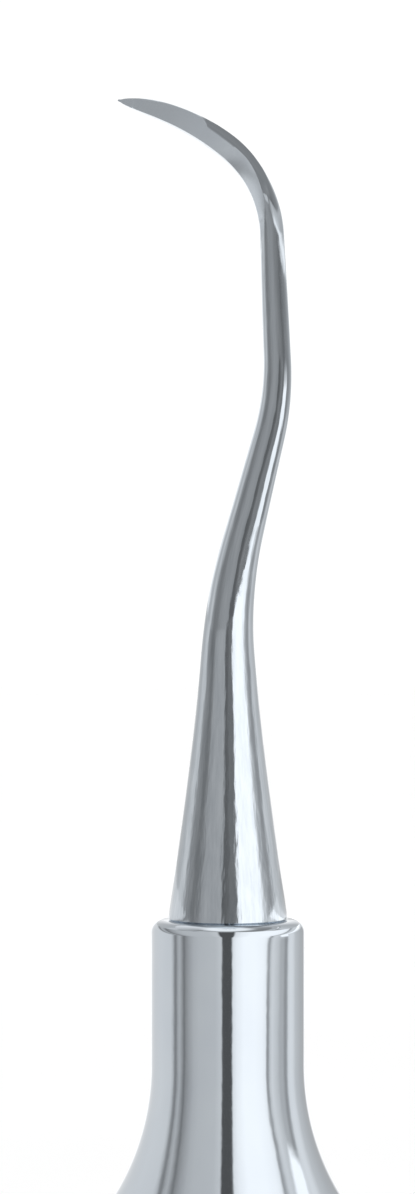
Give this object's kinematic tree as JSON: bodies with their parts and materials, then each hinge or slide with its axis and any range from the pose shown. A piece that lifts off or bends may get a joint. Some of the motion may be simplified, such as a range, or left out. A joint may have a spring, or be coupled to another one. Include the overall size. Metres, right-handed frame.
{
  "type": "hand scaler",
  "caption": "Double-ended dental hand scaler: hollow round steel handle with colour rings, O-ring seals, and curved sickle tips that unscrew from both ends.",
  "frame": {"origin": "middle of the handle, on its axis", "axes": "+Z along the handle towards the upper tip; +X away from the side that the upper tip hooks to, so the upper point lies at -X and the lower point at +X; +Y square to the plane in which both tips bend"},
  "size_m": [0.01, 0.01, 0.1764],
  "materials": {
    "polished_steel": "polished",
    "knurled_steel": "satin",
    "ring_silicone": "satin",
    "seal_rubber": "matte"
  },
  "bodies": {
    "handle": {"barrel": "knurled_steel", "upper_ferrule": "polished_steel", "upper_colour_ring": "ring_silicone", "upper_barrel_seal": "seal_rubber", "lower_ferrule": "polished_steel", "lower_colour_ring": "ring_silicone", "lower_barrel_seal": "seal_rubber"},
    "upper_seal": {"upper_tip_seal": "seal_rubber"},
    "upper_tip": {"upper_tip": "polished_steel"},
    "lower_seal": {"lower_tip_seal": "seal_rubber"},
    "lower_tip": {"lower_tip": "polished_steel"}
  },
  "joints": [
    {"name": "upper_tip_advance", "type": "slide", "parent": "handle", "child": "upper_seal", "axis": [0, 0, 1], "range_m": [0, 0.005]},
    {"name": "upper_tip_turn", "type": "hinge", "parent": "upper_seal", "child": "upper_tip", "pos_m": [0, 0, 0.055], "axis": [0, 0, 1], "range_deg": [0, 3600]},
    {"name": "lower_tip_advance", "type": "slide", "parent": "handle", "child": "lower_seal", "axis": [0, 0, -1], "range_m": [0, 0.005]},
    {"name": "lower_tip_turn", "type": "hinge", "parent": "lower_seal", "child": "lower_tip", "pos_m": [0, 0, -0.055], "axis": [0, 0, -1], "range_deg": [0, 3600]}
  ],
  "couplings": [
    {"joint": "upper_tip_turn", "follows": "upper_tip_advance", "rad_per_m": 12566},
    {"joint": "lower_tip_turn", "follows": "lower_tip_advance", "rad_per_m": 12566}
  ]
}
